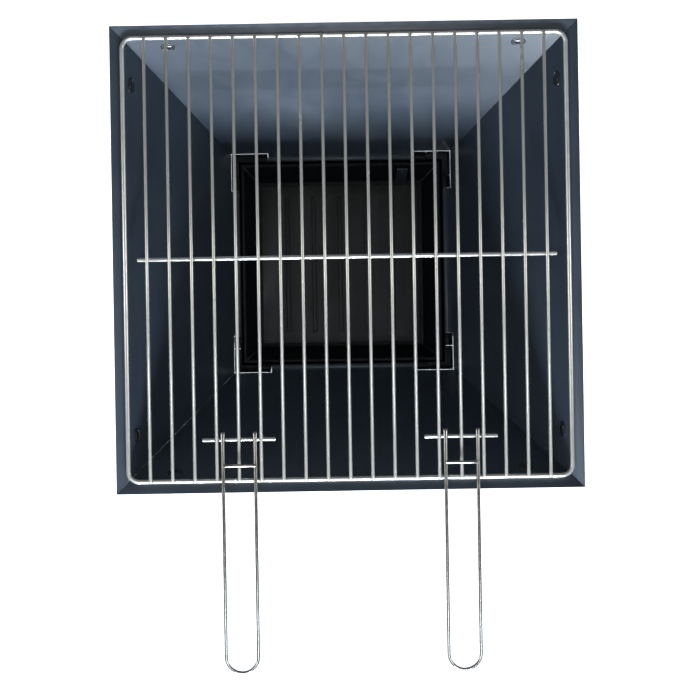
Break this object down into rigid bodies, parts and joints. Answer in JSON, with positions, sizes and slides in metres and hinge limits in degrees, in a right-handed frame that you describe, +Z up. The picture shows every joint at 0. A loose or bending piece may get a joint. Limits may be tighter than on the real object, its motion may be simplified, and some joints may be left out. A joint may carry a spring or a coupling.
{
  "type": "folding camp grill",
  "caption": "Portable charcoal grill: a square four-panel funnel on a folding wire stand, with a lift-out ash pan and a wire grate with two fold-over handles.",
  "frame": {"origin": "on the ground, under the middle of the grill with its handles out", "axes": "+Z up, -Y towards the cook and the handles, +X to the cook's right"},
  "size_m": [0.35, 0.4853, 0.2653],
  "materials": {
    "black_enamel": "semi-gloss blue-black heat-proof enamel",
    "chromed_wire": "bright drawn wire",
    "heat_stained_steel": "dull brown-grey rolled steel",
    "zinc_steel": "zinc plated",
    "black_wire": "satin black",
    "black_rubber": "matte"
  },
  "bodies": {
    "base": {"ash_box": "black_enamel", "lug_rivets": "zinc_steel", "leg_clips_left": "black_enamel", "leg_clips_right": "black_enamel", "hinge_rod_front": "zinc_steel", "hinge_rod_right": "zinc_steel", "hinge_rod_back": "zinc_steel", "hinge_rod_left": "zinc_steel", "hinge_lugs_front": "black_enamel", "hinge_lugs_right": "black_enamel", "hinge_lugs_back": "black_enamel", "hinge_lugs_left": "black_enamel"},
    "panel_front": {"panel_front": "black_enamel"},
    "panel_right": {"panel_right": "black_enamel"},
    "panel_back": {"panel_back": "black_enamel"},
    "panel_left": {"panel_left": "black_enamel"},
    "ash_pan": {"ash_pan": "black_enamel", "pan_liner": "heat_stained_steel", "pan_lift_tab": "black_enamel"},
    "leg_left": {"leg_left": "black_wire", "leg_feet_left": "black_rubber"},
    "leg_right": {"leg_right": "black_wire", "leg_feet_right": "black_rubber"},
    "grate": {"grate_frame": "chromed_wire", "grate_cross_bar": "chromed_wire", "handle_bar_left": "chromed_wire", "handle_bar_right": "chromed_wire", "grate_rod_01": "chromed_wire", "grate_rod_02": "chromed_wire", "grate_rod_03": "chromed_wire", "grate_rod_04": "chromed_wire", "grate_rod_05": "chromed_wire", "grate_rod_06": "chromed_wire", "grate_rod_07": "chromed_wire", "grate_rod_08": "chromed_wire", "grate_rod_09": "chromed_wire", "grate_rod_10": "chromed_wire", "grate_rod_11": "chromed_wire", "grate_rod_12": "chromed_wire", "grate_rod_13": "chromed_wire", "grate_rod_14": "chromed_wire", "grate_rod_15": "chromed_wire", "grate_rod_16": "chromed_wire", "grate_rod_17": "chromed_wire", "grate_rod_18": "chromed_wire", "grate_rod_19": "chromed_wire"},
    "handle_left": {"handle_left": "chromed_wire", "handle_link_left": "chromed_wire"},
    "handle_right": {"handle_right": "chromed_wire", "handle_link_right": "chromed_wire"}
  },
  "joints": [
    {"name": "panel_front_fold", "type": "hinge", "parent": "base", "child": "panel_front", "pos_m": [0, -0.01835, 0.1386], "axis": [1, 0, 0], "range_deg": [0, 95]},
    {"name": "panel_right_fold", "type": "hinge", "parent": "base", "child": "panel_right", "pos_m": [0.086, 0.06765, 0.1386], "axis": [0, 1, 0], "range_deg": [0, 95]},
    {"name": "panel_back_fold", "type": "hinge", "parent": "base", "child": "panel_back", "pos_m": [0, 0.15365, 0.1386], "axis": [-1, 0, 0], "range_deg": [0, 95]},
    {"name": "panel_left_fold", "type": "hinge", "parent": "base", "child": "panel_left", "pos_m": [-0.086, 0.06765, 0.1386], "axis": [0, -1, 0], "range_deg": [0, 95]},
    {"name": "ash_pan_lift", "type": "slide", "parent": "base", "child": "ash_pan", "axis": [0, 0, 1], "range_m": [0, 0.11]},
    {"name": "leg_left_fold", "type": "hinge", "parent": "base", "child": "leg_left", "pos_m": [-0.078, 0.06765, 0.084], "axis": [0, -1, 0], "range_deg": [0, 110]},
    {"name": "leg_right_fold", "type": "hinge", "parent": "base", "child": "leg_right", "pos_m": [0.078, 0.06765, 0.075], "axis": [0, 1, 0], "range_deg": [0, 110]},
    {"name": "grate_lift", "type": "slide", "parent": "base", "child": "grate", "axis": [0, 0, 1], "range_m": [0, 0.15]},
    {"name": "handle_left_fold", "type": "hinge", "parent": "grate", "child": "handle_left", "pos_m": [-0.0829, -0.06765, 0.25823], "axis": [-1, 0, 0], "range_deg": [0, 140]},
    {"name": "handle_right_fold", "type": "hinge", "parent": "grate", "child": "handle_right", "pos_m": [0.0829, -0.06765, 0.25823], "axis": [-1, 0, 0], "range_deg": [0, 140]}
  ]
}
